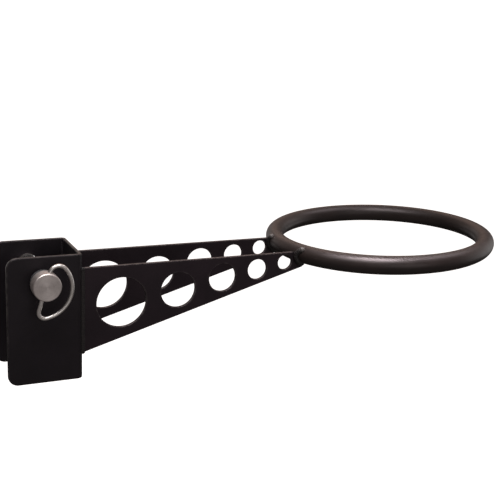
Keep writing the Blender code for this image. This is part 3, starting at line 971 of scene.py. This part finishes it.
knob_profile = [
    (0.0, knob_front + 0.00035),
    (0.0009, knob_front + 0.00005),
    (0.0012, knob_front),
    (KNOB_R - KNOB_CHAMFER, knob_front),
    (KNOB_R, knob_front + KNOB_CHAMFER),
    (KNOB_R, knob_back - 0.0006),
    (KNOB_R - 0.0006, knob_back),
    (bore_r, knob_back),
    (bore_r, -SPIGOT_END - GAP),
    (0.0, -SPIGOT_END - GAP),
]
knob_profile = softened_profile(knob_profile, {3: 0.00035, 4: 0.00035, 5: 0.00025, 6: 0.00025}, 3)
knob = lathe("knob_turned", knob_profile, 144, PIN_X, KNOB_STEEL)
hinge = Vector((math.sin(BAIL_TILT), 0, math.cos(BAIL_TILT)))
reach = Vector((math.cos(BAIL_TILT), 0, -math.sin(BAIL_TILT)))
pivot = Vector((PIN_X, HINGE_Y, 0))
holes = [
    rod(f"cut_leg_{i}", WIRE_R + GAP, 40, pivot + hinge * sgn * 0.0090, pivot + hinge * sgn * 0.0200)
    for i, sgn in enumerate((1, -1))
]
cut(knob, holes)
soften(knob, 32)
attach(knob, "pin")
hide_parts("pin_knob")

shank_profile = [
    (0.0, -SPIGOT_END),
    (SPIGOT_R - 0.0006, -SPIGOT_END),
    (SPIGOT_R, -SPIGOT_END + 0.0006),
    (SPIGOT_R, -OUT_HALF),
    (SHANK_R, -OUT_HALF),
    (SHANK_R, SHANK_TIP - SHANK_CHAMFER),
    (SHANK_R - SHANK_CHAMFER, SHANK_TIP),
    (0.0012, SHANK_TIP),
    (0.0009, SHANK_TIP - 0.0004),
    (0.0, SHANK_TIP - 0.0009),
]
shank_profile = softened_profile(shank_profile, {4: 0.0003, 5: 0.0006, 6: 0.0005}, 4)
shank = lathe("shank_ground", shank_profile, 112, PIN_X, SHANK_STEEL)
soften(shank, 32)
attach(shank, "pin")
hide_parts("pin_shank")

magnet_profile = [
    (bore_r, magnet_front),
    (MAGNET_R - 0.0005, magnet_front),
    (MAGNET_R, magnet_front + 0.0005),
    (MAGNET_R, magnet_back - 0.0005),
    (MAGNET_R - 0.0005, magnet_back),
    (bore_r, magnet_back),
]
magnet = lathe("magnet_sintered", magnet_profile, 112, PIN_X, FERRITE, [0, 1, 1, 1, 1, 0])
soften(magnet, 32)
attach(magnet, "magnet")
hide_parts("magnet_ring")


# ------------------------------------------------------------------ bail
def bail_path(step=1.0):
    """Centreline of the bail as (reach, height) about its hinge line."""
    pts = []

    def corner_at(r, sgn):
        rise = r - BAIL_ARC_V
        along = math.sqrt((BAIL_ARC_R - r) ** 2 - rise**2)
        return BAIL_ARC_U + sgn * along

    top, low = corner_at(BAIL_TOP_R, 1), corner_at(BAIL_LOW_R, -1)
    for i in range(12):
        pts.append((0.0, BAIL_STUB + (top - BAIL_STUB) * i / 12))
    a_end = math.degrees(math.atan2(BAIL_TOP_R - BAIL_ARC_V, top - BAIL_ARC_U))
    for i in range(33):
        a = math.radians(-90 + (a_end + 90) * i / 32)
        pts.append((BAIL_TOP_R + BAIL_TOP_R * math.sin(a), top + BAIL_TOP_R * math.cos(a)))
    b_end = math.degrees(math.atan2(BAIL_LOW_R - BAIL_ARC_V, low - BAIL_ARC_U))
    for i in range(1, 72):
        a = math.radians(a_end + (b_end - a_end) * i / 72)
        pts.append((BAIL_ARC_V + BAIL_ARC_R * math.sin(a), BAIL_ARC_U + BAIL_ARC_R * math.cos(a)))
    for i in range(33):
        a = math.radians(b_end + (270 - b_end) * i / 32)
        pts.append((BAIL_LOW_R + BAIL_LOW_R * math.sin(a), low + BAIL_LOW_R * math.cos(a)))
    for i in range(1, 13):
        pts.append((0.0, low + (-BAIL_STUB - low) * i / 12))
    return pts


bail_points = [tuple(pivot + reach * v + hinge * u) for v, u in bail_path()]
count = len(bail_points)
bail_radii = []
for k in range(count):
    end = min(k, count - 1 - k)
    bail_radii.append((WIRE_R - 0.00002) * (0.86 if end == 0 else 1.0))
bail = tube("bail_wire", bail_points, bail_radii, 28, WIRE_STEEL)
bail.data.set_sharp_from_angle(angle=math.radians(50))
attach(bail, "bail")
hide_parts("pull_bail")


# ------------------------------------------------------------------ stage, light and camera
def area(name, location, target, size, power, colour, spread=180.0):
    data = bpy.data.lights.new(name, "AREA")
    data.shape = "RECTANGLE"
    data.size, data.size_y = size
    data.energy = power
    data.color = colour
    data.spread = math.radians(spread)
    obj = bpy.data.objects.new(name, data)
    obj.location = location
    obj.rotation_mode = "QUATERNION"
    obj.rotation_quaternion = (Vector(target) - Vector(location)).to_track_quat("-Z", "Y")
    obj.visible_camera = False
    scene.collection.objects.link(obj)
    return obj


RING_NEAR = Vector((RING_X, -RING_R, RING_Z))
area("ring_key", (0.26, -0.24, 1.085), (0.390, -0.195, 0.02), (0.38, 0.27), 0.70, (1.0, 0.92, 0.945), 28)
area("top_right_box", (0.98, -0.05, 0.95), (0.43, -0.05, 0.02), (0.6, 0.5), 0.6, (1.0, 0.93, 0.955), 75)
area("top_box", (-0.12, -0.35, 1.0), (-0.03, -0.06, 0.0), (1.0, 0.50), 4.4, (1.0, 0.97, 0.95), 90)
area("front_fill", (0.2, -2.2, 0.35), (0.1, 0, 0), (1.6, 1.0), 5.0, (1.0, 0.97, 0.95))
# Wide and weak, so the far sides are not black from behind.
area("side_fill", (2.6, 0.1, 0.15), (0.3, 0, 0), (2.4, 1.8), 3.5, (1.0, 0.97, 0.95), 90)
area("back_fill", (-0.2, 2.5, 0.10), (0.1, 0, 0), (3.0, 1.8), 2.2, (1.0, 0.95, 0.92), 90)

world = bpy.data.worlds.new("studio")
scene.world = world
world.use_nodes = True
wt = world.node_tree
background = next(n for n in wt.nodes if n.type == "BACKGROUND")
coords = wt.nodes.new("ShaderNodeTexCoord").outputs["Generated"]
split = wt.nodes.new("ShaderNodeSeparateXYZ")
link(wt, coords, split.inputs[0])


def ahead_part(axis, amount):
    return maths(wt, "MULTIPLY", split.outputs[axis], amount)


ahead = maths(wt, "ADD", ahead_part("X", 0.42), ahead_part("Y", 0.90))
behind = spread(wt, ahead, -0.35, 0.45, 0, 1, True)
up = spread(wt, split.outputs["Z"], 0.06, 0.32, 0, 1, True)
low_colour = blend_colour(wt, behind, (0.17, 0.155, 0.148), (0.035, 0.031, 0.029))
high_colour = blend_colour(wt, behind, (0.085, 0.078, 0.075), (0.24, 0.180, 0.152))
sky = blend_colour(wt, up, low_colour, high_colour)
zenith = spread(wt, split.outputs["Z"], 0.45, 0.95, 0, 1, True)
sky = blend_colour(wt, zenith, sky, (0.30, 0.27, 0.26))
# A large warm panel high up behind: it shows in the tops of the ring's two ends.
toward = maths(wt, "ADD", ahead_part("X", 0.25), maths(wt, "ADD", ahead_part("Y", 0.74), ahead_part("Z", 0.625)))
panel = spread(wt, toward, 0.915, 0.985, 0, 1, True)
sky = blend_colour(wt, panel, sky, (1.05, 0.75, 0.61))
link(wt, sky, background.inputs["Color"])
background.inputs["Strength"].default_value = 1.0


def stage_material(name, colour, glow):
    mat, t, s = nodes_of(name)
    c = object_coords(t)
    tone = spread(t, noise(t, c, 0.8, 3, 0.5), 0.3, 0.7, 0, 1, True)
    link(t, blend_colour(t, tone, colour, tuple(x * 0.995 for x in colour)), s.inputs["Base Color"])
    s.inputs["Roughness"].default_value = 0.9
    s.inputs["Specular IOR Level"].default_value = 0.0
    s.inputs["Emission Color"].default_value = (1.0, 1.0, 1.0, 1.0)
    s.inputs["Emission Strength"].default_value = glow
    return mat


bm = bmesh.new()
bmesh.ops.create_circle(bm, cap_ends=True, segments=64, radius=14.0)
bmesh.ops.translate(bm, vec=(0, 0, -0.62), verts=bm.verts)
mesh = bpy.data.meshes.new("floor")
bm.to_mesh(mesh)
bm.free()
floor = bpy.data.objects.new("floor", mesh)
scene.collection.objects.link(floor)
mesh.materials.append(stage_material("pale_floor", (0.9, 0.9, 0.9), 0.95))
bm = bmesh.new()
bmesh.ops.create_uvsphere(bm, u_segments=48, v_segments=24, radius=14.0)
bmesh.ops.reverse_faces(bm, faces=bm.faces)
mesh = bpy.data.meshes.new("backdrop")
bm.to_mesh(mesh)
bm.free()
backdrop = bpy.data.objects.new("backdrop", mesh)
scene.collection.objects.link(backdrop)
mesh.materials.append(stage_material("pale_backdrop", (0.9, 0.9, 0.9), 1.0))
for obj in (floor, backdrop):
    obj.visible_diffuse = False
    obj.visible_glossy = False
    obj.visible_transmission = False
    obj.visible_volume_scatter = False
    obj.visible_shadow = False

# Camera: lens and pose from a fit of this geometry to the viewing angle.
FOCAL_PX, WIDTH_PX = 975.069, 500.0
YAW, PITCH, ROLL = 0.43591, 0.25162, 0.04282
EYE = Vector((-0.29909, -1.18362, 0.34679))
look = Vector((math.sin(YAW) * math.cos(PITCH), math.cos(YAW) * math.cos(PITCH), -math.sin(PITCH)))
right = Vector((math.cos(YAW), -math.sin(YAW), 0.0))
above = right.cross(look)
right2 = right * math.cos(ROLL) + above * math.sin(ROLL)
above2 = above * math.cos(ROLL) - right * math.sin(ROLL)
camera_data = bpy.data.cameras.new("camera")
camera_data.sensor_width = 36.0
camera_data.lens = FOCAL_PX / WIDTH_PX * 36.0
camera_data.clip_start, camera_data.clip_end = 0.02, 100.0
camera = bpy.data.objects.new("camera", camera_data)
camera.matrix_world = Matrix((
    (right2.x, above2.x, -look.x, EYE.x),
    (right2.y, above2.y, -look.y, EYE.y),
    (right2.z, above2.z, -look.z, EYE.z),
    (0, 0, 0, 1),
))
scene.collection.objects.link(camera)
scene.camera = camera
scene.view_settings.view_transform = "Standard"
scene.view_settings.look = "None"

bpy.context.view_layer.update()
